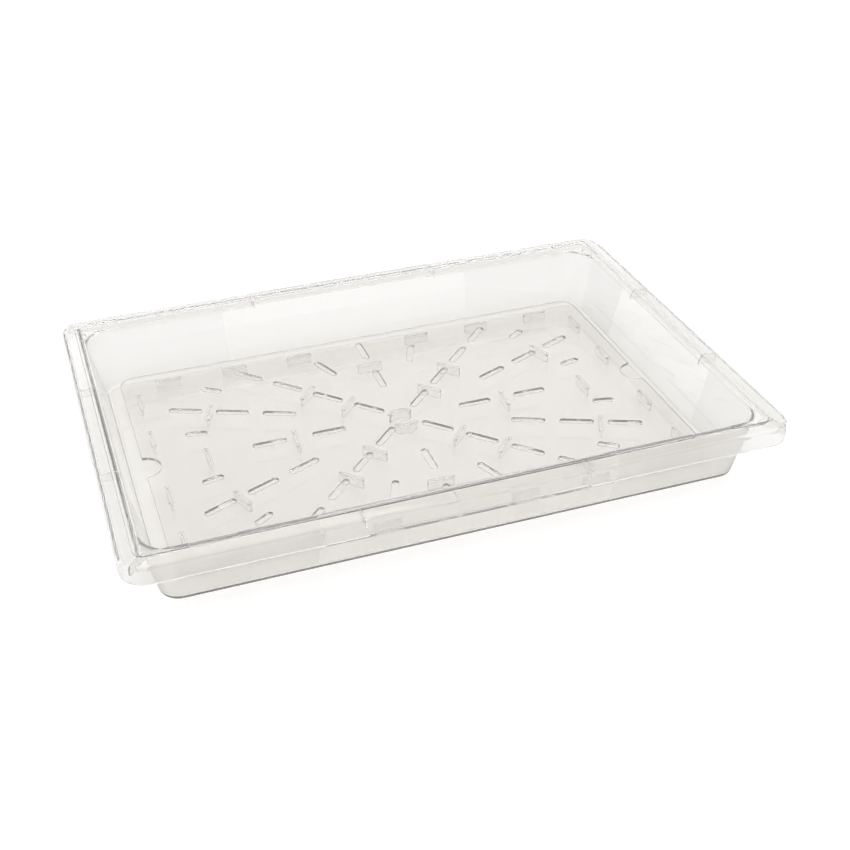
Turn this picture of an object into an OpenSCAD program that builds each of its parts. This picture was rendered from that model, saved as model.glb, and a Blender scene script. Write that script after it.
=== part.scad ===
// Clear food storage box, shallow full size, with a slotted drain shelf that lifts out.
// Millimetres, Z up. The origin is the middle of the underside of the box floor.
// X runs along the long side and Y along the short side.

/* [Box] */
// Length over the rim
box_l = 660.4; // [600:0.1:760]
// Width over the rim
box_w = 457.2; // [420:0.1:560]
// Height from the underside of the floor to the top of the rim bead
box_h = 76; // [72:0.5:160]
// Thickness of the walls
wall_t = 3; // [2.5:0.1:4]
// Thickness of the floor
floor_t = 3; // [2.5:0.1:4]
// Lean of the walls from upright, in degrees
wall_draft = 12.5; // [4:0.5:14]
// Inner radius where the walls meet the floor
floor_r = 6; // [3:0.5:9]
// Outer radius where the walls meet the underside
base_r = 5; // [2:0.5:8]

/* [Rim] */
// Width of the rim, from its outer face to the top of the inner wall
rim_w = 23; // [20:0.5:26]
// Drop from the top of the bead to the top of the inner wall
rim_drop = 5.7; // [4:0.1:8]
// Height of the skirt that hangs from the rim
skirt_h = 21; // [16:0.5:30]
// Outer radius of the rim at the corners
rim_corner_r = 25; // [24:0.5:32]
// Distance of the wall corner centres from the outer faces of the rim
wall_corner_in = 55; // [52:0.5:70]
// Width of the raised bead that the lid sits round
bead_w = 6.3; // [4:0.1:8]
// Length of each lid pocket in the bead
pocket_l = 44; // [20:1:60]
// Distance of the lid pockets from the middle of the box
pocket_x = 246; // [180:1:250]
// Depth of the lid pockets below the top of the bead
pocket_d = 1.7; // [1:0.1:2]

/* [Hand grips] */
// Distance of the long-side gussets from the middle
gusset_x = 111; // [60:1:170]
// Distance of the short-side gussets from the middle
gusset_y = 78; // [40:1:120]
// Thickness of the gussets under the rim
gusset_t = 1.6; // [1.2:0.1:3]
// Rise of the lower edge of the long skirts between their gussets
grip_rise = 2; // [1.2:0.1:2.4]
// Spacing of the fine teeth along the raised edge
tooth_pitch = 3.6; // [2.4:0.1:6]

/* [Drain shelf] */
// Length of the shelf
shelf_l = 557; // [540:1:560]
// Width of the shelf
shelf_w = 358; // [345:1:360]
// Thickness of the shelf plate
shelf_t = 3; // [2:0.1:4]
// Corner radius of the shelf
shelf_r = 16.5; // [10:0.5:24]
// Radius of the finger notches in the short ends
notch_r = 17; // [10:0.5:24]
// Width of the drain slots
slot_w = 7; // [4:0.5:8]
// Length of the long drain slots, end to end
slot_l = 36; // [24:0.5:40]
// Length of the short drain slots, end to end
short_slot_l = 22.7; // [14:0.1:30]
// Pitch of the slots along the rays
ray_pitch = 51.4; // [44:0.1:54]
// Height of the legs below the shelf plate
leg_h = 11; // [6:0.5:20]
// Length of a leg
leg_l = 28; // [16:1:34]
// Thickness of a leg
leg_t = 2.4; // [1.6:0.1:3.6]
// Width of the rib that joins a leg to the plate
rib_w = 5.6; // [4:0.1:8]

/* [Hidden] */
$fn = 96;

clear_grey = [0.86, 0.86, 0.83, 0.45];
clear_white = [0.90, 0.90, 0.88, 0.55];

// Heights and insets of the rim. An inset is the distance inwards from the outer face.
skirt_z = box_h - skirt_h;
wall_top_z = box_h - rim_drop;
land_z = wall_top_z - wall_t;
bead_in = rim_w - 2.4;
bead_out = bead_in - bead_w;
bead_step = 1;
flange_rise = 1.6;
shoulder_in = 1;
shoulder_z = box_h - bead_step - flange_rise;
skirt_draft = 0.8;
under_z = shoulder_z - 0.8;
shoulder_r = 3;
edge_r = 1.4;
// The skirt stands upright for this far above its lower edge, before it leans in
skirt_land = 3;

// Insets of the inner and outer wall faces at height z
draft = tan(wall_draft);
function inner_in(z) = rim_w + (wall_top_z - z) * draft;
function outer_in(z) = inner_in(z) - wall_t / cos(wall_draft);
floor_in = inner_in(floor_t) + 8;

// Gussets reach down to this height, and their outline runs inside the shell
gusset_z = skirt_z + 8.5;
// The raised skirt edge stops this far short of the gussets
grip_gap = 2;
tooth_h = 0.7;

shelf_z = floor_t + leg_h;
leg_toe_r = 3;
rib_h = 2;
// The rib reaches this far past each end of the leg
rib_end = 0.7;
ring_r = 15;
ring_arc = 100;

// Radii of the slots and legs on each set of rays
long_rays = [45, 135, 225, 315];
side_rays = [22.5, 157.5, 202.5, 337.5];
end_rays = [67.5, 112.5, 247.5, 292.5];
axis_rays = [0, 90, 180, 270];
long_r = 41;
side_r = 134;
axis_slots = [82.7, 147];
axis_leg_r = 118;
end_leg_r = 212.5;
short_slot_r = 220.5;
short_slot_rays = [11.3, 33.7];
column_x = 262.5;
column_y = [51.5, 128.5];
row_y = 163;
row_x = [72, 148.5, 225];

function unit(v) = v / norm(v);

// Arc of radius b[2] that rounds the corner b of an outline between its neighbours a and c
function corner_arc(a, b, c, n) =
    let (p = [b[0], b[1]],
         u = unit([a[0], a[1]] - p),
         v = unit([c[0], c[1]] - p),
         half = acos(u * v) / 2,
         centre = p + unit(u + v) * b[2] / sin(half),
         start = p + u * b[2] / tan(half) - centre,
         stop = p + v * b[2] / tan(half) - centre,
         a0 = atan2(start[1], start[0]),
         turn = atan2(stop[1], stop[0]) - a0,
         sweep = turn > 180 ? turn - 360 : turn < -180 ? turn + 360 : turn)
    [for (k = [0:n]) centre + b[2] * [cos(a0 + sweep * k / n), sin(a0 + sweep * k / n)]];

// A point to the nearest thousandth, so that straight runs and corners meet without a step
function snap(p) = [round(p[0] * 1000) / 1000, round(p[1] * 1000) / 1000];

// Outline whose points are [inset, height, radius], with every radius above 0 drawn as an arc
function rounded(points, n = 6) =
    let (count = len(points))
    [for (k = [0:count - 1], p = points[k][2] > 0
            ? corner_arc(points[(k + count - 1) % count], points[k], points[(k + 1) % count], n)
            : [points[k]])
        snap(p)];

// Section of the rim: skirt, shoulder, sloping flange, bead, drop to the wall and back underneath
rim_outline = rounded([
    [0, skirt_z, edge_r],
    [0, skirt_z + skirt_land, 0],
    [shoulder_in, shoulder_z, shoulder_r],
    [bead_out, box_h - bead_step, 0.4],
    [bead_out + 0.5, box_h, 0.4],
    [bead_in, box_h, 1.2],
    [rim_w, wall_top_z, 0],
    [rim_w, land_z, 0],
    [outer_in(land_z) + 0.5, land_z, 0],
    [bead_in - 3.2, box_h - 3.5, 1.5],
    [wall_t + skirt_draft, shoulder_z - wall_t + 0.4, shoulder_r],
    [wall_t, skirt_z, edge_r]]);

// Section of the wall, from the rim down and round into the floor
wall_outline = rounded([
    [rim_w, wall_top_z, 0],
    [inner_in(floor_t), floor_t, floor_r],
    [floor_in, floor_t, 0],
    [floor_in, 0, 0],
    [outer_in(0), 0, base_r],
    [outer_in(wall_top_z), wall_top_z, 0]]);

// Gusset outline along the middle of the shell, given where the wall is
function gusset_outline(wall_top, wall_low) = [
    [wall_t / 2, gusset_z],
    [wall_t / 2 + 0.6, under_z - 1.5],
    [wall_t + 2, under_z],
    [bead_out, box_h - 2.2],
    [bead_in - 1, box_h - 2.8],
    [rim_w - 2.6, land_z + 2],
    [wall_top, land_z + 1.4],
    [wall_low, gusset_z]];

// Flat outline with rounded corners, every side moved inwards by inset
module round_rect(l, w, r) {
    square([l - 2 * r, w], center = true);
    square([l, w - 2 * r], center = true);
    for (x = [-1, 1], y = [-1, 1])
        translate([x * (l / 2 - r), y * (w / 2 - r)])
            circle(r);
}

module four_ways() {
    for (x = [0, 1], y = [0, 1])
        mirror([x, 0, 0])
            mirror([0, y, 0])
                children();
}

// Sweep an outline round the box, with the corner centres at the given distance inwards
module around_box(outline, corner_in) {
    run_x = box_l - 2 * corner_in;
    run_y = box_w - 2 * corner_in;
    for (side = [0, 1]) {
        mirror([0, side, 0])
            translate([-run_x / 2, -box_w / 2, 0])
                rotate([90, 0, 90])
                    linear_extrude(run_x)
                        polygon(outline);
        mirror([side, 0, 0])
            translate([-box_l / 2, run_y / 2, 0])
                rotate([90, 0, 0])
                    linear_extrude(run_y)
                        polygon(outline);
    }
    four_ways()
        translate([run_x / 2, run_y / 2, 0])
            rotate_extrude(angle = 90)
                polygon([for (p = outline) snap([corner_in - p[0], p[1]])]);
}

// Level land that carries the tight rim corners over to the wide wall corners
module corner_land() {
    land_in = rim_w - 1.5;
    translate([0, 0, land_z])
        linear_extrude(wall_t)
            difference() {
                round_rect(box_l - 2 * land_in, box_w - 2 * land_in, rim_corner_r - land_in);
                round_rect(box_l - 2 * rim_w, box_w - 2 * rim_w, wall_corner_in - rim_w);
            }
}

module floor_plate() {
    plate_in = floor_in - 1;
    linear_extrude(floor_t)
        round_rect(box_l - 2 * plate_in, box_w - 2 * plate_in, wall_corner_in - plate_in);
}

// Thin gusset in the plane square to a rim side, its outline drawn as [inset, height]
module gusset(outline) {
    rotate([90, 0, 90])
        translate([0, 0, -gusset_t / 2])
            linear_extrude(gusset_t)
                polygon(outline);
}

module gussets() {
    wall_mid = outer_in(land_z) + wall_t / 2;
    low_mid = outer_in(gusset_z) + wall_t / 2;
    side = gusset_outline(wall_mid, low_mid);
    // Along the diagonal the wall corner lies further in than the rim corner
    shift = (wall_corner_in - rim_corner_r) * (sqrt(2) - 1);
    corner = gusset_outline(wall_mid + shift, low_mid + shift);
    four_ways() {
        translate([gusset_x, -box_w / 2, 0])
            gusset(side);
        translate([-box_l / 2, gusset_y, 0])
            rotate([0, 0, -90])
                gusset(side);
        translate([box_l / 2 - rim_corner_r, -box_w / 2 + rim_corner_r, 0])
            rotate([0, 0, 45])
                translate([0, -rim_corner_r, 0])
                    gusset(corner);
    }
}

// Cut that raises the lower edge of the long skirts and leaves fine teeth along it
module grip_cuts() {
    reach = gusset_x - grip_gap;
    edge_z = skirt_z + grip_rise;
    count = floor(2 * reach / tooth_pitch);
    start = -count * tooth_pitch / 2;
    teeth = [for (k = [0:count - 1], t = [0, 0.5])
        [start + (k + t) * tooth_pitch, edge_z + 2 * t * tooth_h]];
    for (side = [0, 1])
        mirror([0, side, 0])
            translate([0, -box_w / 2 + wall_t + 1, 0])
                rotate([90, 0, 0])
                    linear_extrude(wall_t + 2)
                        polygon(concat([[-reach, skirt_z - 1], [-reach, edge_z]], teeth,
                                       [[-start, edge_z], [reach, edge_z], [reach, skirt_z - 1]]));
}

// Shallow pockets across the bead of the long sides, open to the inside, that place the lid
module lid_pockets() {
    pocket_in = bead_out - 0.3;
    four_ways()
        translate([pocket_x - pocket_l / 2, -box_w / 2 + pocket_in, box_h - pocket_d])
            cube([pocket_l, rim_w - pocket_in, pocket_d + 1]);
}

module food_box() {
    color(clear_grey)
        difference() {
            union() {
                around_box(rim_outline, rim_corner_r);
                around_box(wall_outline, wall_corner_in);
                corner_land();
                floor_plate();
                gussets();
            }
            grip_cuts();
            lid_pockets();
        }
}

// Place children on the given rays at the given radius, turned to face outwards
module on_rays(rays, radii) {
    for (angle = rays, r = radii)
        rotate(angle)
            translate([r, 0])
                children();
}

// Bar along X with round ends
module round_bar(length, width) {
    square([length - width, width], center = true);
    for (end = [-1, 1])
        translate([end * (length - width) / 2, 0])
            circle(width / 2);
}

module slot(length) {
    round_bar(length, slot_w);
}

module slot_field() {
    on_rays(long_rays, [for (k = [0:3]) long_r + k * ray_pitch])
        slot(slot_l);
    on_rays(side_rays, [for (k = [0:2]) side_r + k * ray_pitch])
        slot(slot_l);
    on_rays(end_rays, [side_r])
        slot(slot_l);
    on_rays(axis_rays, axis_slots)
        slot(slot_l);
    for (angle = short_slot_rays)
        on_rays([angle, 180 - angle, 180 + angle, -angle], [short_slot_r])
            slot(short_slot_l);
}

module finger_notches() {
    for (end = [-1, 1])
        translate([end * shelf_l / 2, 0])
            circle(notch_r);
}

// Leg hanging from z = 0, lying along Y: a web with rounded toes below a flat rib
module leg() {
    span = leg_l - 2 * leg_toe_r;
    rotate([90, 0, 90])
        translate([0, 0, -leg_t / 2])
            linear_extrude(leg_t) {
                translate([-leg_l / 2, -leg_h + leg_toe_r])
                    square([leg_l, leg_h - leg_toe_r]);
                translate([-span / 2, -leg_h])
                    square([span, leg_toe_r]);
                for (end = [-1, 1])
                    translate([end * span / 2, -leg_h + leg_toe_r])
                        circle(leg_toe_r);
            }
    translate([0, 0, -rib_h])
        linear_extrude(rib_h)
            rotate(90)
                round_bar(leg_l + 2 * rib_end, rib_w);
}

// Two curved legs that stand round the middle of the shelf, each a web below a rib
module ring_legs() {
    for (middle = [90, 270])
        rotate(middle - ring_arc / 2)
            rotate_extrude(angle = ring_arc) {
                translate([ring_r - leg_t / 2, -leg_h])
                    square([leg_t, leg_h]);
                translate([ring_r - rib_w / 2, -rib_h])
                    square([rib_w, rib_h]);
            }
}

module legs() {
    on_rays(long_rays, [long_r + ray_pitch / 2, long_r + 3 * ray_pitch / 2])
        leg();
    on_rays(side_rays, [side_r + 3 * ray_pitch / 2])
        leg();
    on_rays(axis_rays, [axis_leg_r])
        leg();
    on_rays([0, 180], [end_leg_r])
        leg();
    four_ways() {
        for (y = column_y)
            translate([column_x, y, 0])
                leg();
        for (x = row_x)
            translate([x, row_y, 0])
                rotate(90)
                    leg();
    }
    ring_legs();
}

module drain_shelf() {
    color(clear_white)
        translate([0, 0, shelf_z]) {
            linear_extrude(shelf_t)
                difference() {
                    round_rect(shelf_l, shelf_w, shelf_r);
                    slot_field();
                    finger_notches();
                }
            legs();
        }
}

food_box();
drain_shelf();
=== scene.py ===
import math

import bmesh
import bpy
from bpy.props import FloatProperty, PointerProperty, StringProperty
from mathutils import Matrix, Vector


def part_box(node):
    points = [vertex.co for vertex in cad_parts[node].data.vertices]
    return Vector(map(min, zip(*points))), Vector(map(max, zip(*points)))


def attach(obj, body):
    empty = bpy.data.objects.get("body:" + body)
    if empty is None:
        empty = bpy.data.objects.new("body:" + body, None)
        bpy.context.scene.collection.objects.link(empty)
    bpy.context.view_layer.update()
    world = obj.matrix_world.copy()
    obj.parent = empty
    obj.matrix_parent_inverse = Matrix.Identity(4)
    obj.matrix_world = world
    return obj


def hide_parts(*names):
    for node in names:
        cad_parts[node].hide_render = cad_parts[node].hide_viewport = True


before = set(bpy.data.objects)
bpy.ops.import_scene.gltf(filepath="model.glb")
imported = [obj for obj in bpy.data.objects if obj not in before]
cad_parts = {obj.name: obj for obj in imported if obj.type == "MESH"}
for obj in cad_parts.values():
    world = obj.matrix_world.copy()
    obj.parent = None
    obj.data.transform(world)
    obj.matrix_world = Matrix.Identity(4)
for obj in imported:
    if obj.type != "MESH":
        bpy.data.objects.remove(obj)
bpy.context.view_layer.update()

bl_info = {
    "name": "Clear Food Box with Drain Shelf",
    "version": (1, 0, 0),
    "blender": (4, 5, 0),
    "location": "3D View > Sidebar > Food Box",
    "description": "Builds a clear food storage box with its lift-out drain shelf",
    "category": "Add Mesh",
}

MM = 0.001
BOX_LOW, BOX_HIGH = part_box("food_box")
SHELF_LOW, SHELF_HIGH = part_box("drain_shelf")

# Points nearer than MERGE become one, and places nearer than NEAR count as the same
MERGE = 0.002 * MM
NEAR = 0.01 * MM

# Edges flatter than SMOOTH_ANGLE are shaded smooth, and those past SHARP_ANGLE are rounded.
# NORMAL_WEIGHT is how strongly a large face sets the shading of the small ones beside it
SMOOTH_ANGLE = math.radians(32)
SHARP_ANGLE = math.radians(60)
NORMAL_WEIGHT = 80

# Faces on a curve
CORNER_STEPS = 20
FILLET_STEPS = 6
SLOT_STEPS = 32
NOTCH_STEPS = 72
ARC_STEPS = 20
TOE_STEPS = 4
LEG_EDGE_STEPS = 2
PLATE_EDGE_STEPS = 3


def length_property(name, millimetres, description):
    """A size in metres whose default is written in millimetres."""
    return FloatProperty(
        name=name, description=description, default=millimetres * MM, min=0, unit="LENGTH"
    )


def colour_property(name, default, description):
    """A colour written as a six-digit sRGB hex value."""
    return StringProperty(name=name, description=description, default=default, maxlen=6)


class FoodBoxSizes(bpy.types.PropertyGroup):
    """Sizes of the box, its rim and what is moulded under the rim"""

    wall: length_property("Wall", 3, "Thickness of walls, rim and floor")
    draft: FloatProperty(
        name="Draft",
        description="Lean of the walls from upright",
        default=math.radians(12.5),
        subtype="ANGLE",
    )
    floor_fillet: length_property("Floor fillet", 6, "Inner radius from wall to floor")
    base_round: length_property("Base rounding", 5, "Outer radius from wall to underside")
    rim_width: length_property("Rim width", 23, "From the skirt to the top of the inner wall")
    rim_drop: length_property("Rim drop", 5.7, "From the bead down to the inner wall's top")
    skirt: length_property("Skirt", 21, "Height of the skirt below the bead")
    bead: length_property("Bead", 6.3, "Width of the raised bead that a lid sits round")
    rim_corner: length_property("Rim corner", 25, "Outer radius of the rim corners")
    wall_corner: length_property("Wall corner", 55, "Depth of the wall corner centres")
    gusset: length_property("Gusset", 1.6, "Thickness of the gussets under the rim")
    gusset_along: length_property("Long-side gussets", 111, "Distance from the middle")
    gusset_across: length_property("Short-side gussets", 78, "Distance from the middle")
    pocket_length: length_property("Pocket length", 44, "Length of a lid pocket")
    pocket_place: length_property("Pocket place", 246, "Distance of a pocket from the middle")
    pocket_depth: length_property("Pocket depth", 1.7, "Depth of a lid pocket")
    grip_rise: length_property("Grip rise", 2, "Rise of the long skirts' edge at the grips")
    tooth_pitch: length_property("Tooth pitch", 3.6, "Spacing of the teeth in that edge")
    tooth_depth: length_property("Tooth depth", 0.7, "Depth of a tooth")
    window_along: length_property("Long window", 148.5, "Half length of a long wall's window")
    window_across: length_property("Short window", 98, "Half length of a short wall's window")


class DrainShelfSizes(bpy.types.PropertyGroup):
    """Sizes of the shelf, its slots and its legs"""

    plate: length_property("Plate", 3, "Thickness of the plate")
    corner: length_property("Corner", 16.5, "Radius of the plate corners")
    notch: length_property("Notch", 17, "Radius of the finger notches")
    slot_width: length_property("Slot width", 7, "Width of a drain slot")
    slot_long: length_property("Long slot", 36, "Long drain slot, end to end")
    slot_short: length_property("Short slot", 22.7, "Short drain slot, end to end")
    ray_pitch: length_property("Ray pitch", 51.4, "Pitch of the slots along a ray")
    edge: length_property("Edge", 0.6, "Radius of the moulded edges")
    leg_length: length_property("Leg length", 28, "Length of a leg")
    leg_thick: length_property("Leg thickness", 2.4, "Thickness of a leg")
    leg_toe: length_property("Leg toe", 1, "Radius of the lower corners of a leg")
    rib_width: length_property("Rib width", 5.6, "Width of the rib between leg and plate")
    rib_height: length_property("Rib height", 2, "Depth of that rib below the plate")
    rib_end: length_property("Rib end", 0.7, "How far a rib reaches past the end of its leg")
    leg_gap: length_property("Leg gap", 0.05, "Air between the legs and the floor of the box")
    ring: length_property("Ring", 15, "Mean radius of the two curved legs")
    ring_arc: FloatProperty(
        name="Ring arc",
        description="Angle that each curved leg spans",
        default=math.radians(100),
        subtype="ANGLE",
    )


class FinishColours(bpy.types.PropertyGroup):
    """Colours of the plastic and the stage"""

    box_tint: colour_property("Box tint", "FDFCFA", "What a wall of the box lets through")
    shelf_tint: colour_property("Shelf tint", "FBFAF9", "What the shelf lets through")
    box_shadow: colour_property("Box shadow", "DFDEDC", "Lamp light past one face of the box")
    floor: colour_property("Floor", "F6F6F6", "Colour of the stage floor")


# Small modelling tools

def clear_selection():
    """Leave every object alone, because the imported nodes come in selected."""
    bpy.ops.object.select_all(action="DESELECT")


def begin_piece(name):
    """An empty mesh object in edit mode, ready to be modelled."""
    clear_selection()
    bpy.ops.mesh.primitive_plane_add()
    piece = bpy.context.object
    piece.name = piece.data.name = name
    bpy.ops.object.mode_set(mode="EDIT")
    bpy.ops.mesh.delete(type="VERT")
    return piece


def end_edit():
    """Back to object mode."""
    bpy.ops.object.mode_set(mode="OBJECT")


def join(first, others):
    """Join the others into the first object."""
    clear_selection()
    for part in [first, *others]:
        part.select_set(True)
    bpy.context.view_layer.objects.active = first
    bpy.ops.object.join()
    return first


def apply_modifier(piece, kind, **settings):
    """Add one modifier with its settings and apply it."""
    clear_selection()
    piece.select_set(True)
    bpy.context.view_layer.objects.active = piece
    bpy.ops.object.modifier_add(type=kind)
    modifier = piece.modifiers[-1]
    for key, value in settings.items():
        setattr(modifier, key, value)
    bpy.ops.object.modifier_apply(modifier=modifier.name)


def combine(piece, tool, operation):
    """Cut the tool out of the piece, or weld it on, and remove the tool."""
    apply_modifier(piece, "BOOLEAN", object=tool, operation=operation, solver="EXACT")
    bpy.data.objects.remove(tool, do_unlink=True)


def copy_at(source, matrix):
    """A copy with its own mesh, turned and moved into place in its mesh."""
    clear_selection()
    source.select_set(True)
    bpy.context.view_layer.objects.active = source
    bpy.ops.object.duplicate(linked=False)
    copy = bpy.context.object
    copy.matrix_world = matrix
    bpy.ops.object.transform_apply(location=True, rotation=True, scale=True)
    return copy


def copies(source, matrices):
    """Copies at each place, joined into one object; the source goes."""
    made = [copy_at(source, m) for m in matrices]
    bpy.data.objects.remove(source, do_unlink=True)
    return join(made[0], made[1:])


def select_points(piece, wanted):
    """Edit mode, with the points selected for which wanted(place) is true."""
    clear_selection()
    piece.select_set(True)
    bpy.context.view_layer.objects.active = piece
    bpy.ops.object.mode_set(mode="EDIT")
    bpy.ops.mesh.select_mode(type="VERT")
    bpy.ops.mesh.select_all(action="DESELECT")
    end_edit()
    for vertex in piece.data.vertices:
        vertex.select = wanted(vertex.co)
    bpy.ops.object.mode_set(mode="EDIT")


def tidy_mesh(piece):
    """Merge what touches and turn every face outwards."""
    bpy.context.view_layer.objects.active = piece
    bpy.ops.object.mode_set(mode="EDIT")
    bpy.ops.mesh.select_all(action="SELECT")
    bpy.ops.mesh.remove_doubles(threshold=MERGE)
    bpy.ops.mesh.normals_make_consistent(inside=False)
    end_edit()


def finish_piece(piece, body, node, material):
    """Shade the piece, give it its finish, tie it to its body and hide its node."""
    clear_selection()
    piece.select_set(True)
    bpy.context.view_layer.objects.active = piece
    bpy.ops.object.shade_smooth_by_angle(angle=SMOOTH_ANGLE)
    apply_modifier(piece, "WEIGHTED_NORMAL", keep_sharp=True, weight=NORMAL_WEIGHT)
    bpy.ops.object.transform_apply(location=True, rotation=True, scale=True)
    piece.data.materials.clear()
    piece.data.materials.append(material)
    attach(piece, body)
    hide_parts(node)


# The box: rounded rings, bridged in the order of its section

def corner_arc(before, corner, after, radius):
    """Points of the arc that rounds one corner of a section."""
    corner, before, after = Vector(corner), Vector(before), Vector(after)
    to_before = (before - corner).normalized()
    to_after = (after - corner).normalized()
    half = to_before.angle(to_after) / 2
    centre = corner + (to_before + to_after).normalized() * radius / math.sin(half)
    start = corner + to_before * radius / math.tan(half) - centre
    stop = corner + to_after * radius / math.tan(half) - centre
    turn = start.angle_signed(stop)
    points = []
    for step in range(FILLET_STEPS + 1):
        angle = -turn * step / FILLET_STEPS
        points.append(centre + Matrix.Rotation(angle, 2) @ start)
    return points


def rounded_section(corners):
    """Points (inset, height, corner centre) of the section, its corners rounded."""
    rings = []
    for k, (inset, height, radius, centre) in enumerate(corners):
        before = corners[k - 1][:2]
        after = corners[(k + 1) % len(corners)][:2]
        if radius == 0:
            rings.append((inset, height, centre))
            continue
        for point in corner_arc(before, (inset, height), after, radius):
            rings.append((point.x, point.y, centre))
    return rings


def add_ring(length, width, height, radius):
    """One rounded outline: a plane at its size and height, its corners bevelled round."""
    bpy.ops.mesh.primitive_plane_add(size=1, location=(0, 0, height))
    bpy.ops.transform.resize(value=(length, width, 1), center_override=(0, 0, height))
    bpy.ops.mesh.bevel(offset=radius, segments=CORNER_STEPS, affect="VERTICES")


def add_band(name, rings, length, width):
    """The strip of surface between two rings of the section."""
    band = begin_piece(name)
    for inset, height, centre in rings:
        add_ring(length - 2 * inset, width - 2 * inset, height, centre - inset)
    bpy.ops.mesh.select_all(action="SELECT")
    bpy.ops.mesh.delete(type="ONLY_FACE")
    bpy.ops.mesh.select_all(action="SELECT")
    bpy.ops.mesh.bridge_edge_loops()
    end_edit()
    return band


def add_cap(name, ring, length, width):
    """The flat face that closes the floor inside one ring."""
    inset, height, centre = ring
    cap = begin_piece(name)
    add_ring(length - 2 * inset, width - 2 * inset, height, centre - inset)
    end_edit()
    return cap


# Rim: places on its section, as distances from the faces that the sizes give
BEAD_BACK = 2.4 * MM
BEAD_STEP = 1 * MM
BEAD_LEAN = 0.5 * MM
FLANGE_RISE = 1.6 * MM
SKIRT_LEAN = 1 * MM
SKIRT_BAND = 3 * MM
LIP = 0.2 * MM
FLOOR_FLAT_IN = 8 * MM
LAND_OVERLAP = 0.6 * MM
CROOK_BACK, CROOK_DOWN = 3.2 * MM, 3.5 * MM
HOLLOW_IN, HOLLOW_UP = 0.8 * MM, 0.4 * MM

# Rim: radii of the section's corners
FINE_RADIUS = 0.4 * MM
EDGE_RADIUS = 1.2 * MM
CROOK_RADIUS = 1.5 * MM
SHOULDER_RADIUS = 3 * MM


class BoxSection:
    """The section of the box, worked out from its sizes."""

    def __init__(self, sizes):
        self.length = BOX_HIGH[0] - BOX_LOW[0]
        self.width = BOX_HIGH[1] - BOX_LOW[1]
        self.top = BOX_HIGH[2]
        self.sizes = sizes
        self.wall_top = self.top - sizes.rim_drop
        self.land = self.wall_top - sizes.wall
        self.skirt_foot = self.top - sizes.skirt
        self.bead_in = sizes.rim_width - BEAD_BACK
        self.bead_out = self.bead_in - sizes.bead
        self.flange_top = self.top - BEAD_STEP
        self.shoulder = self.flange_top - FLANGE_RISE

    def inner(self, height):
        """Inset of the inner face of the wall at a height."""
        below = self.wall_top - height
        return self.sizes.rim_width + below * math.tan(self.sizes.draft)

    def outer(self, height):
        """Inset of the outer face of the wall at a height."""
        return self.inner(height) - self.sizes.wall / math.cos(self.sizes.draft)

    def rings(self):
        """Over the rim and down to the floor inside, then back underneath to the skirt."""
        s = self.sizes
        rim, wall = s.rim_corner, s.wall_corner
        floor_edge = self.inner(s.wall) + FLOOR_FLAT_IN
        down_inside = [
            (0, self.skirt_foot, EDGE_RADIUS, rim),
            (0, self.skirt_foot + SKIRT_BAND, 0, rim),
            (SKIRT_LEAN, self.shoulder, SHOULDER_RADIUS, rim),
            (self.bead_out, self.flange_top, FINE_RADIUS, rim),
            (self.bead_out + BEAD_LEAN, self.top, FINE_RADIUS, rim),
            (self.bead_in, self.top, EDGE_RADIUS, rim),
            (s.rim_width, self.wall_top, 0, rim),
            (s.rim_width + LIP, self.wall_top, LIP, wall),
            (self.inner(s.wall), s.wall, s.floor_fillet, wall),
            (floor_edge, s.wall, 0, wall),
        ]
        under_shoulder = self.shoulder - s.wall + HOLLOW_UP
        back_underneath = [
            (floor_edge, 0, 0, wall),
            (self.outer(0), 0, s.base_round, wall),
            (self.outer(self.land), self.land, FINE_RADIUS, wall),
            (self.outer(self.land) - LAND_OVERLAP, self.land, 0, rim),
            (self.bead_in - CROOK_BACK, self.top - CROOK_DOWN, CROOK_RADIUS, rim),
            (s.wall + HOLLOW_IN, under_shoulder, SHOULDER_RADIUS, rim),
            (s.wall, self.skirt_foot, EDGE_RADIUS, rim),
        ]
        return rounded_section(down_inside + back_underneath)


def box_shell(section):
    """The walls, rim and floor as one closed skin."""
    rings = section.rings()
    size = section.length, section.width
    bands = []
    innermost = max(ring[0] for ring in rings)
    floor_rings = [ring for ring in rings if ring[0] == innermost]
    for k, ring in enumerate(rings):
        pair = [rings[k - 1], ring]
        if pair == floor_rings:
            bands += [add_cap("floor_face", flat, *size) for flat in pair]
        else:
            bands.append(add_band("band", pair, *size))
    shell = join(bands[0], bands[1:])
    tidy_mesh(shell)
    return shell


def four_corners(x, y):
    """Mirror images of a place in the four quarters."""
    return [(sx * x, sy * y) for sx in (-1, 1) for sy in (-1, 1)]


def add_block(name, low, high):
    """A block between two corners."""
    clear_selection()
    low, high = Vector(low), Vector(high)
    bpy.ops.mesh.primitive_cube_add(size=1, location=(low + high) / 2)
    block = bpy.context.object
    block.name = block.data.name = name
    block.scale = high - low
    bpy.ops.object.transform_apply(location=True, rotation=True, scale=True)
    return block


def cut_flat(piece, point, normal):
    """Cut away what lies beyond a plane, and close the cut."""
    bpy.context.view_layer.objects.active = piece
    bpy.ops.object.mode_set(mode="EDIT")
    bpy.ops.mesh.select_all(action="SELECT")
    bpy.ops.mesh.bisect(
        plane_co=point, plane_no=normal, use_fill=True, clear_outer=True, threshold=MERGE
    )
    end_edit()


# Gussets: where their outline is cut, and the slope of the cut behind the bead
GUSSET_FOOT = 8.5 * MM
CROWN_DOWN, CROWN_RISE = 1.2 * MM, 2 * MM
BACK_IN, BACK_DOWN = 3 * MM, 2.4 * MM
BACK_SLOPE = (0, 5.2, 3.6)

# Rim corners in the order of their turns
CORNER_SIDES = ((1, -1), (1, 1), (-1, 1), (-1, -1))


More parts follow.
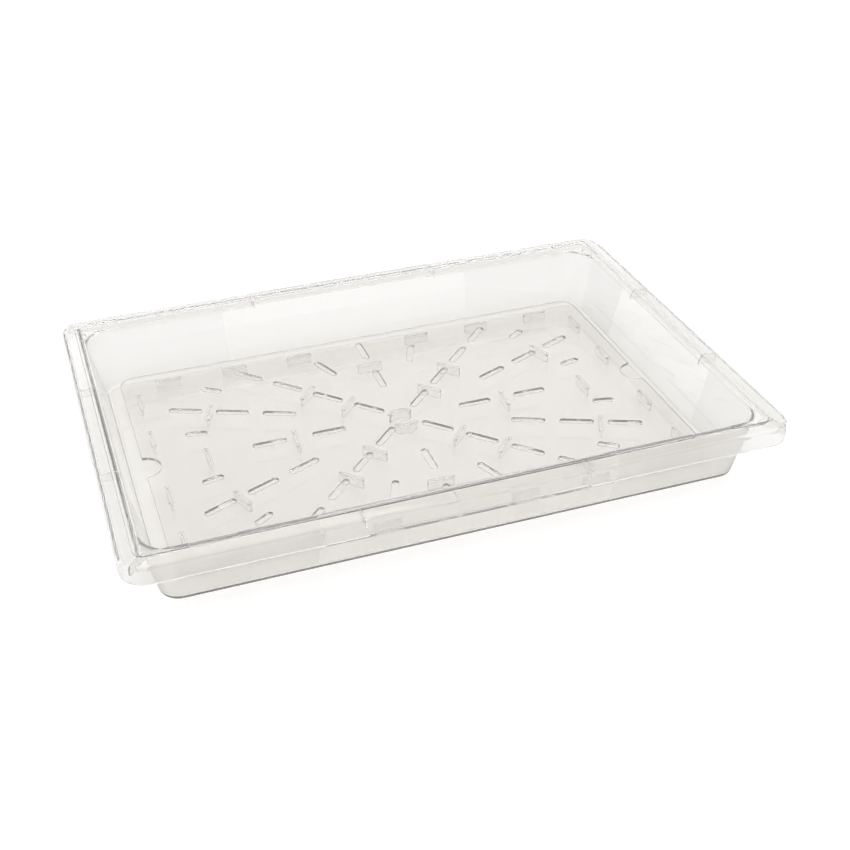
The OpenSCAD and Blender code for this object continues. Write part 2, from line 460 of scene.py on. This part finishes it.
def gusset_web(section, reach):
    """A web from skirt to wall, modelled square to a rim side: Y runs inwards."""
    s = section.sizes
    half = s.gusset / 2
    foot = section.skirt_foot + GUSSET_FOOT
    middle = s.wall / 2
    low_end = section.outer(foot) + middle + reach
    top_end = section.outer(section.land) + middle + reach
    far = (half, low_end + middle, section.top)
    web = add_block("gusset", (-half, middle, foot), far)
    run = Vector((0, top_end - low_end, section.land - foot))
    cut_flat(web, (0, low_end, foot), Vector((0, run.z, -run.y)))
    crown = Vector((0, section.bead_in - s.wall, CROWN_RISE))
    crown_foot = (0, s.wall, section.shoulder - CROWN_DOWN)
    cut_flat(web, crown_foot, Vector((0, -crown.z, crown.y)))
    back = (0, section.bead_in - BACK_IN, section.top - BACK_DOWN)
    cut_flat(web, back, BACK_SLOPE)
    return web


def gusset_copies(section):
    """The twelve webs: four to each pair of sides and one across each corner."""
    s = section.sizes
    half_length, half_width = section.length / 2, section.width / 2
    along = gusset_web(section, 0)
    places = []
    for x, side in four_corners(s.gusset_along, 1):
        turn = Matrix.Rotation(math.pi if side > 0 else 0, 4, "Z")
        places.append(Matrix.Translation((x, side * half_width, 0)) @ turn)
    for side, y in four_corners(1, s.gusset_across):
        turn = Matrix.Rotation(side * math.pi / 2, 4, "Z")
        places.append(Matrix.Translation((side * half_length, y, 0)) @ turn)
    straight = copies(along, places)
    reach = (s.wall_corner - s.rim_corner) * (math.sqrt(2) - 1)
    across = gusset_web(section, reach)
    inwards = Matrix.Translation((0, -s.rim_corner, 0))
    places = []
    for k, (sx, sy) in enumerate(CORNER_SIDES):
        turn = Matrix.Rotation(math.pi / 4 + k * math.pi / 2, 4, "Z")
        x, y = sx * (half_length - s.rim_corner), sy * (half_width - s.rim_corner)
        places.append(Matrix.Translation((x, y, 0)) @ turn @ inwards)
    return join(straight, [copies(across, places)])


# Grips: clear of the gussets, through the skirt, and half a tooth's width in its spacing
GRIP_CLEAR = 2 * MM
GRIP_THROUGH = 4 * MM
TOOTH_FILL = 0.49


def grip_cuts(section):
    """Cutters that raise the long skirts' edge between the gussets, and its teeth."""
    s = section.sizes
    reach = s.gusset_along - GRIP_CLEAR
    edge = section.skirt_foot + s.grip_rise
    outer, inner = section.width / 2 + s.wall, section.width / 2 - GRIP_THROUGH
    blocks = []
    for side in (-1, 1):
        y = sorted((side * outer, side * inner))
        low = (-reach, y[0], section.skirt_foot - s.wall)
        blocks.append(add_block("grip_cut", low, (reach, y[1], edge)))
    clear_selection()
    # A four-sided bar on its edge notches the skirt in a V
    bpy.ops.mesh.primitive_cylinder_add(
        vertices=4, radius=1, depth=outer - inner, rotation=(math.pi / 2, 0, 0)
    )
    tooth = bpy.context.object
    bpy.ops.object.transform_apply(location=True, rotation=True, scale=True)
    tooth.scale = (TOOTH_FILL * s.tooth_pitch, 1, s.tooth_depth)
    bpy.ops.object.transform_apply(location=True, rotation=True, scale=True)
    count = int(2 * reach / s.tooth_pitch)
    places = []
    for k in range(count):
        x = (k + 0.5 - count / 2) * s.tooth_pitch
        for side in (-1, 1):
            places.append(Matrix.Translation((x, side * (outer + inner) / 2, edge)))
    return join(blocks[0], blocks[1:]), copies(tooth, places)


# Lid pockets: past the bead on its outer side, and inwards past the rim
POCKET_PAST = 0.3 * MM
POCKET_REACH = 25 * MM


def lid_pockets(section):
    """Cutters for the shallow pockets in the bead of the long sides."""
    s = section.sizes
    outer = section.width / 2 - (section.bead_out - POCKET_PAST)
    inner = section.width / 2 - POCKET_REACH
    blocks = []
    for x, side in four_corners(s.pocket_place, 1):
        y = sorted((side * outer, side * inner))
        low = (x - s.pocket_length / 2, y[0], section.top - s.pocket_depth)
        high = (x + s.pocket_length / 2, y[1], section.top + s.wall)
        blocks.append(add_block("pocket", low, high))
    return join(blocks[0], blocks[1:])


class FOODBOX_OT_box(bpy.types.Operator):
    """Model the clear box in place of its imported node"""

    bl_idname = "foodbox.box"
    bl_label = "Box"

    def execute(self, context):
        section = BoxSection(context.scene.food_box_sizes)
        shell = box_shell(section)
        combine(shell, gusset_copies(section), "UNION")
        for cutter in (*grip_cuts(section), lid_pockets(section)):
            combine(shell, cutter, "DIFFERENCE")
        shell.name = shell.data.name = "clear_box"
        colours = context.scene.food_box_colours
        finish = box_polycarbonate(colours.box_tint, colours.box_shadow, section)
        finish_piece(shell, "box", "food_box", finish)
        return {"FINISHED"}


# The shelf: rays in degrees, and places on and beside them in millimetres

LONG_RAYS = (45, 135, 225, 315)
SIDE_RAYS = (22.5, 157.5, 202.5, 337.5)
END_RAYS = (67.5, 112.5, 247.5, 292.5)
AXIS_RAYS = (0, 90, 180, 270)
SHORT_SLOT_RAYS = (11.3, 33.7)
LONG_START = 41
SIDE_START = 134
AXIS_SLOTS = (82.7, 147)
SHORT_SLOTS = 220.5
AXIS_LEGS = 118
END_LEGS = 212.5
COLUMN_X, COLUMN_Y = 262.5, (51.5, 128.5)
ROW_X, ROW_Y = (72, 148.5, 225), 163

# Radius of the fine edges of the legs and their ribs
LEG_EDGE = 0.2 * MM


def on_rays(rays, radii):
    """Places on rays from the middle, turned to face outwards."""
    return [
        Matrix.Rotation(math.radians(ray), 4, "Z") @ Matrix.Translation((radius * MM, 0, 0))
        for ray in rays
        for radius in radii
    ]


def add_cylinder(radius, x, low, high, steps):
    """An upright cylinder between two heights, its place in its mesh."""
    clear_selection()
    bpy.ops.mesh.primitive_cylinder_add(
        vertices=steps, radius=radius, depth=high - low, location=(x, 0, (low + high) / 2)
    )
    bpy.ops.object.transform_apply(location=True, rotation=True, scale=True)
    return bpy.context.object


def slot_cutter(width, length, low, high):
    """A slot's round-ended block: a cylinder whose halves are drawn apart."""
    cutter = add_cylinder(width / 2, 0, low, high, SLOT_STEPS)
    half = (length - width) / 2
    for side in (-1, 1):
        select_points(cutter, lambda place, side=side: side * place.x > 0.01 * width)
        bpy.ops.transform.translate(value=(side * half, 0, 0))
        end_edit()
    return cutter


def slot_field(sizes, low, high):
    """Cutters for every drain slot, long and short, each family on its own rays."""
    pitch = sizes.ray_pitch / MM
    long_places = on_rays(LONG_RAYS, [LONG_START + k * pitch for k in range(4)])
    long_places += on_rays(SIDE_RAYS, [SIDE_START + k * pitch for k in range(3)])
    long_places += on_rays(END_RAYS, [SIDE_START])
    long_places += on_rays(AXIS_RAYS, AXIS_SLOTS)
    short_rays = []
    for angle in SHORT_SLOT_RAYS:
        short_rays += [angle, 180 - angle, 180 + angle, -angle]
    short_places = on_rays(short_rays, [SHORT_SLOTS])
    long_slot = slot_cutter(sizes.slot_width, sizes.slot_long, low, high)
    long_slots = copies(long_slot, long_places)
    short_slot = slot_cutter(sizes.slot_width, sizes.slot_short, low, high)
    return join(long_slots, [copies(short_slot, short_places)])


def notch_cutters(radius, low, high):
    """Cylinders that cut the finger notches into the short ends."""
    ends = (SHELF_LOW[0], SHELF_HIGH[0])
    made = [add_cylinder(radius, x, low, high, NOTCH_STEPS) for x in ends]
    return join(made[0], made[1:])


def leg_places(sizes):
    """Places of the straight legs: on the rays, in two columns and in rows."""
    pitch = sizes.ray_pitch / MM
    places = on_rays(LONG_RAYS, [LONG_START + pitch / 2, LONG_START + 3 * pitch / 2])
    places += on_rays(SIDE_RAYS, [SIDE_START + 3 * pitch / 2])
    places += on_rays(AXIS_RAYS, [AXIS_LEGS])
    places += on_rays((0, 180), [END_LEGS])
    quarter_turn = Matrix.Rotation(math.pi / 2, 4, "Z")
    for y in COLUMN_Y:
        for place in four_corners(COLUMN_X * MM, y * MM):
            places.append(Matrix.Translation((*place, 0)))
    for x in ROW_X:
        for place in four_corners(x * MM, ROW_Y * MM):
            places.append(Matrix.Translation((*place, 0)) @ quarter_turn)
    return places


def sunk(height, thickness):
    """A third of the way into the part that begins at this height, for a clean weld."""
    return height + thickness / 3


def bevel_edges(piece, wanted, radius, steps):
    """Round the edges for which wanted(edge) is true."""
    bpy.context.view_layer.objects.active = piece
    bpy.ops.object.mode_set(mode="EDIT")
    bpy.ops.mesh.select_mode(type="EDGE")
    bpy.ops.mesh.select_all(action="DESELECT")
    edit = bmesh.from_edit_mesh(piece.data)
    for edge in edit.edges:
        if wanted(edge):
            edge.select = True
    bmesh.update_edit_mesh(piece.data)
    bpy.ops.mesh.bevel(offset=radius, segments=steps, affect="EDGES", clamp_overlap=False)
    bpy.ops.mesh.select_mode(type="VERT")
    end_edit()


def sharp_below(height):
    """A test for edges that lie wholly below a height and turn sharply."""
    def wanted(edge):
        below = max(v.co.z for v in edge.verts) < height
        return below and edge.calc_face_angle(0) > SHARP_ANGLE

    return wanted


def straight_leg(sizes, foot, under):
    """A leg that lies along Y: a web with rounded toes below a flat rib."""
    half_thick, half_long = sizes.leg_thick / 2, sizes.leg_length / 2
    rib_foot = under - sizes.rib_height
    web_top = sunk(rib_foot, sizes.rib_height)
    far = (half_thick, half_long, web_top)
    web = add_block("leg", (-half_thick, -half_long, foot), far)

    def toe(edge):
        a, b = (v.co for v in edge.verts)
        low = max(abs(a.z - foot), abs(b.z - foot)) < NEAR
        return low and abs(a.y - b.y) < NEAR

    bevel_edges(web, toe, sizes.leg_toe, TOE_STEPS)
    bevel_edges(web, sharp_below(web_top - NEAR), LEG_EDGE, LEG_EDGE_STEPS)
    rib_length = sizes.leg_length + 2 * sizes.rib_end
    rib = slot_cutter(sizes.rib_width, rib_length, rib_foot, sunk(under, sizes.plate))
    rib.matrix_world = Matrix.Rotation(math.pi / 2, 4, "Z")
    bpy.ops.object.transform_apply(location=True, rotation=True, scale=True)
    bevel_edges(rib, sharp_below(rib_foot + NEAR), LEG_EDGE, LEG_EDGE_STEPS)
    combine(rib, web, "UNION")
    return rib


def curved_legs(sizes, low, high, thick):
    """Two arcs of wall round the middle, spun from a small upright face."""
    made = []
    for middle in (math.pi / 2, 3 * math.pi / 2):
        arc = begin_piece("arc_leg")
        bpy.ops.mesh.primitive_plane_add(
            size=1, location=(0, 0, 0), rotation=(math.pi / 2, 0, 0)
        )
        size = (thick, 1, high - low)
        bpy.ops.transform.resize(value=size, center_override=(0, 0, 0))
        bpy.ops.transform.translate(value=(sizes.ring, 0, (low + high) / 2))
        end_edit()
        arc.matrix_world = Matrix.Rotation(middle + sizes.ring_arc / 2, 4, "Z")
        bpy.ops.object.transform_apply(location=True, rotation=True, scale=True)
        bpy.ops.object.mode_set(mode="EDIT")
        bpy.ops.mesh.select_all(action="SELECT")
        bpy.ops.mesh.spin(
            steps=ARC_STEPS, angle=sizes.ring_arc, center=(0, 0, 0), axis=(0, 0, 1)
        )
        end_edit()
        made.append(arc)
    legs = join(made[0], made[1:])
    tidy_mesh(legs)
    bevel_edges(legs, sharp_below(low + NEAR), LEG_EDGE, LEG_EDGE_STEPS)
    return legs


def slotted_plate(sizes, low, high):
    """The plate with its slots and notches cut, and every edge rounded."""
    length, width = SHELF_HIGH[0] - SHELF_LOW[0], SHELF_HIGH[1] - SHELF_LOW[1]
    plate = begin_piece("plate")
    add_ring(length, width, low, sizes.corner)
    bpy.ops.mesh.select_all(action="SELECT")
    up = {"value": (0, 0, high - low)}
    bpy.ops.mesh.extrude_region_move(TRANSFORM_OT_translate=up)
    end_edit()
    tidy_mesh(plate)
    below, above = low - sizes.plate, high + sizes.plate
    combine(plate, slot_field(sizes, below, above), "DIFFERENCE")
    combine(plate, notch_cutters(sizes.notch, below, above), "DIFFERENCE")
    tidy_mesh(plate)
    bevel_edges(plate, sharp_below(above), sizes.edge, PLATE_EDGE_STEPS)
    return plate


class FOODBOX_OT_shelf(bpy.types.Operator):
    """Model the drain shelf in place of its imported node"""

    bl_idname = "foodbox.shelf"
    bl_label = "Drain shelf"

    def execute(self, context):
        sizes = context.scene.drain_shelf_sizes
        top = SHELF_HIGH[2]
        under = top - sizes.plate
        foot = SHELF_LOW[2] + sizes.leg_gap
        shelf = slotted_plate(sizes, under, top)
        legs = copies(straight_leg(sizes, foot, under), leg_places(sizes))
        rib_foot = under - sizes.rib_height
        ribs = curved_legs(sizes, rib_foot, sunk(under, sizes.plate), sizes.rib_width)
        web_top = sunk(rib_foot, sizes.rib_height)
        webs = curved_legs(sizes, foot, web_top, sizes.leg_thick)
        combine(ribs, webs, "UNION")
        combine(shelf, join(legs, [ribs]), "UNION")
        tidy_mesh(shelf)
        shelf.name = shelf.data.name = "clear_drain_shelf"
        finish = shelf_polycarbonate(context.scene.food_box_colours.shelf_tint)
        finish_piece(shelf, "shelf", "drain_shelf", finish)
        return {"FINISHED"}


# Finishes

# Clear polycarbonate bends light by 1.585. Polished faces mirror clearly, and a few parts in
# a hundred of the light are scattered in the plastic, which makes it look faintly milky
POLYCARBONATE_IOR = 1.585
POLISHED = 0.03
SHELF_CLEAR = 0.95
BOX_CLEAR = 0.96

# What the spark-eroded texture adds to the roughness, and the clearness it takes away
WALL_TEXTURE = 0.25
RIM_TEXTURE = 0.10
WALL_HAZE = 0.02

# Blend at the edges of the texture: wide on the walls, and narrow between two close faces
WIDE_BLEND = 0.8 * MM
NARROW_BLEND = 0.3 * MM

# The texture on the walls ends below the rim and above the base
WALLS_IN = 19 * MM
WALLS_UP = 5 * MM

# The texture under the rim lies between these insets and below the flange, which rises
# inwards by FLANGE_SLOPE
RIM_FROM, RIM_TO = 1.8 * MM, 17.5 * MM
UNDER_SHOULDER = 1.6 * MM
FLANGE_SLOPE = 0.12

MATH = "ShaderNodeMath"
ADD = {"operation": "ADD"}
SUBTRACT = {"operation": "SUBTRACT"}
MULTIPLY = {"operation": "MULTIPLY"}
SMOOTH_STEP = {"interpolation_type": "SMOOTHSTEP"}


def colour(value):
    """Linear colour from a six-digit sRGB hex value."""
    linear = []
    for k in (0, 2, 4):
        c = int(value[k:k + 2], 16) / 255
        linear.append(c / 12.92 if c <= 0.04045 else ((c + 0.055) / 1.055) ** 2.4)
    return (*linear, 1)


def add_node(tree, kind, settings=None, inputs=None):
    """A node with its settings. Each input is a value, a socket, or a node that stands
    for its first output."""
    node = tree.nodes.new(kind)
    for key, value in (settings or {}).items():
        setattr(node, key, value)
    for key, value in (inputs or {}).items():
        if isinstance(value, bpy.types.Node):
            value = value.outputs[0]
        if isinstance(value, bpy.types.NodeSocket):
            tree.links.new(value, node.inputs[key])
        else:
            node.inputs[key].default_value = value
    return node


def new_material(name):
    """An empty node material and its node tree."""
    material = bpy.data.materials.new(name)
    material.use_nodes = True
    material.node_tree.nodes.clear()
    return material, material.node_tree


def let_lamps_through(tree, surface, tint):
    """Rays to the lamps pass the clear plastic with its tint, so it throws a pale shadow."""
    path = add_node(tree, "ShaderNodeLightPath")
    clear = add_node(tree, "ShaderNodeBsdfTransparent", inputs={"Color": colour(tint)})
    mix = add_node(tree, "ShaderNodeMixShader", inputs={
        0: path.outputs["Is Shadow Ray"], 1: surface, 2: clear})
    add_node(tree, "ShaderNodeOutputMaterial", inputs={"Surface": mix})


def where_all(tree, conditions):
    """1 where every value is past its edge, blended over its width, and 0 elsewhere.
    A condition is (value, edge, blend), and a negative blend turns it round."""
    result = 1.0
    for value, edge, blend in conditions:
        past = add_node(tree, "ShaderNodeMapRange", SMOOTH_STEP, {
            "Value": value, "From Min": edge - blend, "From Max": edge + blend})
        result = add_node(tree, MATH, MULTIPLY, {0: result, 1: past})
    return result


def rounded_inset(tree, x, y, section, corner):
    """How far a point lies inside a rim outline whose corner centres are this deep."""
    past = []
    for place, half in ((x, section.length / 2), (y, section.width / 2)):
        over = add_node(tree, MATH, SUBTRACT, {0: place, 1: half - corner})
        over = add_node(tree, MATH, {"operation": "MAXIMUM"}, {0: over, 1: 0.0})
        past.append(add_node(tree, MATH, {"operation": "POWER"}, {0: over, 1: 2.0}))
    reach = add_node(tree, MATH, ADD, {0: past[0], 1: past[1]})
    reach = add_node(tree, MATH, {"operation": "SQRT"}, {0: reach})
    return add_node(tree, MATH, SUBTRACT, {0: corner, 1: reach})


def spark_eroded(tree, section):
    """Two masks of the texture: outside the walls beside their windows, and under the rim."""
    sizes = section.sizes
    place = add_node(tree, "ShaderNodeTexCoord")
    parts = add_node(tree, "ShaderNodeSeparateXYZ", inputs={0: place.outputs["Object"]})
    x = add_node(tree, MATH, {"operation": "ABSOLUTE"}, {0: parts.outputs["X"]})
    y = add_node(tree, MATH, {"operation": "ABSOLUTE"}, {0: parts.outputs["Y"]})
    z = parts.outputs["Z"]
    wall_inset = rounded_inset(tree, x, y, section, sizes.wall_corner)
    # Lean is taken off, so that one distance tells the outer face of the wall from the inner
    lean = add_node(tree, MATH, MULTIPLY, {0: z, 1: math.tan(sizes.draft)})
    across_wall = add_node(tree, MATH, ADD, {0: wall_inset, 1: lean})
    walls = where_all(tree, [
        (x, sizes.window_along, WIDE_BLEND),
        (y, sizes.window_across, WIDE_BLEND),
        (wall_inset, WALLS_IN, WIDE_BLEND),
        (across_wall, section.inner(0) - sizes.wall / 2, -NARROW_BLEND),
        (z, WALLS_UP, WIDE_BLEND),
    ])
    rim_inset = rounded_inset(tree, x, y, section, sizes.rim_corner)
    # The slope is taken off too, so that one height tells the flange's underside from its top
    rise = add_node(tree, MATH, MULTIPLY, {0: rim_inset, 1: FLANGE_SLOPE})
    level = add_node(tree, MATH, SUBTRACT, {0: z, 1: rise})
    under_rim = where_all(tree, [
        (rim_inset, RIM_FROM, NARROW_BLEND),
        (rim_inset, RIM_TO, -NARROW_BLEND),
        (level, section.shoulder - UNDER_SHOULDER, -NARROW_BLEND),
    ])
    return walls, under_rim


def box_polycarbonate(tint, shadow, section):
    """Injection-moulded clear polycarbonate, slightly hazy: polished windows, and a fine
    spark-eroded texture beside the corners and, finer still, under the rim."""
    material, tree = new_material("moulded_clear_polycarbonate")
    walls, rim = spark_eroded(tree, section)
    wall_rough = add_node(tree, MATH, MULTIPLY, {0: walls, 1: WALL_TEXTURE})
    rim_rough = add_node(tree, MATH, MULTIPLY, {0: rim, 1: RIM_TEXTURE})
    texture = add_node(tree, MATH, ADD, {0: wall_rough, 1: rim_rough})
    haze = add_node(tree, MATH, MULTIPLY, {0: walls, 1: WALL_HAZE})
    surface = add_node(tree, "ShaderNodeBsdfPrincipled", inputs={
        "Base Color": colour(tint),
        "IOR": POLYCARBONATE_IOR,
        "Roughness": add_node(tree, MATH, ADD, {0: texture, 1: POLISHED}),
        "Transmission Weight": add_node(tree, MATH, SUBTRACT, {0: BOX_CLEAR, 1: haze}),
    })
    let_lamps_through(tree, surface, shadow)
    return material


def shelf_polycarbonate(tint):
    """Injection-moulded clear polycarbonate, polished all over."""
    material, tree = new_material("polished_clear_polycarbonate")
    surface = add_node(tree, "ShaderNodeBsdfPrincipled", inputs={
        "Base Color": colour(tint),
        "IOR": POLYCARBONATE_IOR,
        "Roughness": POLISHED,
        "Transmission Weight": SHELF_CLEAR,
    })
    let_lamps_through(tree, surface, tint)
    return material


# Stage

# A sun lamp overhead: where it stands, the angle it spreads over, and its strength
LAMP_FROM = (0.2, 0.1, 2.3)
LAMP_SPREAD = math.radians(70)
LAMP_STRENGTH = 1.5

FLOOR_SIZE = 12
FLOOR_DROP = 0.3 * MM

# What lifts the floor to white, seen by the camera and seen through plastic or in gloss
FLOOR_SEEN = 0.34
FLOOR_BEHIND = 0.18

# Room: a direction's height or depth, and how bright the room is there
LOW, OVERHEAD = (0.45, 1.0), (0.85, 0.3)
BEHIND, BEYOND = (-0.6, 0.45), (0.4, 1.0)
WHITE = (1, 1, 1, 1)

# The longest light paths inside the plastic are cut, which keeps the slot walls dark
LONGEST_PATH = 16
LONGEST_GLOSS = 12

# Camera, fitted to the outlines in the photograph
CAMERA_AT = (-0.36176, -1.08113, 0.77282)
YAW, PITCH, ROLL = math.radians(18.191), math.radians(33.93), math.radians(-0.914)
LENS, SENSOR, SHIFT = 53.876, 36, 0.0324


class FOODBOX_OT_stage(bpy.types.Operator):
    """Set the floor, lamp, world and camera"""

    bl_idname = "foodbox.stage"
    bl_label = "Stage"

    def execute(self, context):
        scene = context.scene
        make_floor(scene.food_box_colours.floor)
        make_world(scene)
        make_lamp()
        make_camera(scene)
        scene.view_settings.view_transform = "Standard"
        scene.cycles.max_bounces = LONGEST_PATH
        scene.cycles.transmission_bounces = LONGEST_PATH
        scene.cycles.glossy_bounces = LONGEST_GLOSS
        return {"FINISHED"}


def make_floor(floor_colour):
    """A wide pale floor just under the box, lifted to white where it is seen."""
    clear_selection()
    bpy.ops.mesh.primitive_plane_add(size=FLOOR_SIZE, location=(0, 0, -FLOOR_DROP))
    floor = bpy.context.object
    floor.name = "stage_floor"
    material, tree = new_material("pale_paper_sweep")
    paper = add_node(tree, "ShaderNodeBsdfDiffuse", inputs={"Color": colour(floor_colour)})
    path = add_node(tree, "ShaderNodeLightPath").outputs
    seen = add_node(tree, MATH, MULTIPLY, {0: path["Is Camera Ray"], 1: FLOOR_SEEN})
    either = add_node(tree, MATH, {"operation": "MAXIMUM"}, {
        0: path["Is Transmission Ray"], 1: path["Is Glossy Ray"]})
    behind = add_node(tree, MATH, MULTIPLY, {0: either, 1: FLOOR_BEHIND})
    lift = add_node(tree, MATH, ADD, {0: seen, 1: behind})
    glow = add_node(tree, "ShaderNodeEmission", inputs={"Strength": lift})
    both = add_node(tree, "ShaderNodeAddShader", inputs={0: paper, 1: glow})
    add_node(tree, "ShaderNodeOutputMaterial", inputs={"Surface": both})
    floor.data.materials.append(material)


def make_world(scene):
    """White where it is seen, and a plain soft room for light and reflections."""
    world = bpy.data.worlds.new("soft_room")
    world.use_nodes = True
    tree = world.node_tree
    tree.nodes.clear()
    place = add_node(tree, "ShaderNodeTexCoord")
    parts = add_node(tree, "ShaderNodeSeparateXYZ", inputs={0: place.outputs["Generated"]})
    levels = []
    # Behind the camera the room is darker, which draws the edges of the clear plastic
    for axis, first, last in (("Z", LOW, OVERHEAD), ("Y", BEHIND, BEYOND)):
        levels.append(add_node(tree, "ShaderNodeMapRange", SMOOTH_STEP, {
            "Value": parts.outputs[axis], "From Min": first[0], "From Max": last[0],
            "To Min": first[1], "To Max": last[1]}))
    strength = add_node(tree, MATH, MULTIPLY, {0: levels[0], 1: levels[1]})
    path = add_node(tree, "ShaderNodeLightPath")
    room = add_node(tree, "ShaderNodeBackground", inputs={
        "Color": WHITE, "Strength": strength})
    white = add_node(tree, "ShaderNodeBackground", inputs={"Color": WHITE, "Strength": 1.0})
    mix = add_node(tree, "ShaderNodeMixShader", inputs={
        0: path.outputs["Is Camera Ray"], 1: room, 2: white})
    add_node(tree, "ShaderNodeOutputWorld", inputs={"Surface": mix})
    scene.world = world


def make_lamp():
    """A very wide soft lamp that lights the whole floor evenly from overhead."""
    clear_selection()
    bpy.ops.object.light_add(type="SUN", location=LAMP_FROM)
    lamp = bpy.context.object
    lamp.name = lamp.data.name = "overhead_softbox"
    lamp.data.angle = LAMP_SPREAD
    lamp.data.energy = LAMP_STRENGTH
    lamp.rotation_euler = Vector(LAMP_FROM).to_track_quat("Z", "Y").to_euler()


def make_camera(scene):
    """The photograph's view: from the front left, looking down at the box."""
    clear_selection()
    bpy.ops.object.camera_add()
    camera = bpy.context.object
    turn = Matrix.Rotation(-YAW, 4, "Z") @ Matrix.Rotation(math.pi / 2 - PITCH, 4, "X")
    turn = turn @ Matrix.Rotation(ROLL, 4, "Z")
    camera.matrix_world = Matrix.Translation(CAMERA_AT) @ turn
    camera.data.lens = LENS
    camera.data.sensor_width = SENSOR
    camera.data.shift_x = SHIFT
    scene.camera = camera


class FOODBOX_PT_panel(bpy.types.Panel):
    """Sidebar panel with the box's parts and sizes"""

    bl_idname = "FOODBOX_PT_panel"
    bl_label = "Food Box"
    bl_space_type = "VIEW_3D"
    bl_region_type = "UI"
    bl_category = "Food Box"

    def draw(self, context):
        for operator in (FOODBOX_OT_box, FOODBOX_OT_shelf, FOODBOX_OT_stage):
            self.layout.operator(operator.bl_idname)
        for group in ("food_box_sizes", "drain_shelf_sizes", "food_box_colours"):
            settings = getattr(context.scene, group)
            for key in settings.__annotations__:
                self.layout.prop(settings, key)


CLASSES = (
    FoodBoxSizes,
    DrainShelfSizes,
    FinishColours,
    FOODBOX_OT_box,
    FOODBOX_OT_shelf,
    FOODBOX_OT_stage,
    FOODBOX_PT_panel,
)


def register():
    for item in CLASSES:
        bpy.utils.register_class(item)
    bpy.types.Scene.food_box_sizes = PointerProperty(type=FoodBoxSizes)
    bpy.types.Scene.drain_shelf_sizes = PointerProperty(type=DrainShelfSizes)
    bpy.types.Scene.food_box_colours = PointerProperty(type=FinishColours)


def unregister():
    del bpy.types.Scene.food_box_colours
    del bpy.types.Scene.drain_shelf_sizes
    del bpy.types.Scene.food_box_sizes
    for item in reversed(CLASSES):
        bpy.utils.unregister_class(item)


def remove_starters():
    """Blender's own cube, lamp and camera make room for the box."""
    for name in ("Cube", "Light", "Camera"):
        if name in bpy.data.objects:
            bpy.data.objects.remove(bpy.data.objects[name], do_unlink=True)


def main():
    register()
    remove_starters()
    bpy.ops.foodbox.box()
    bpy.ops.foodbox.shelf()
    bpy.ops.foodbox.stage()


if __name__ == "__main__":
    main()
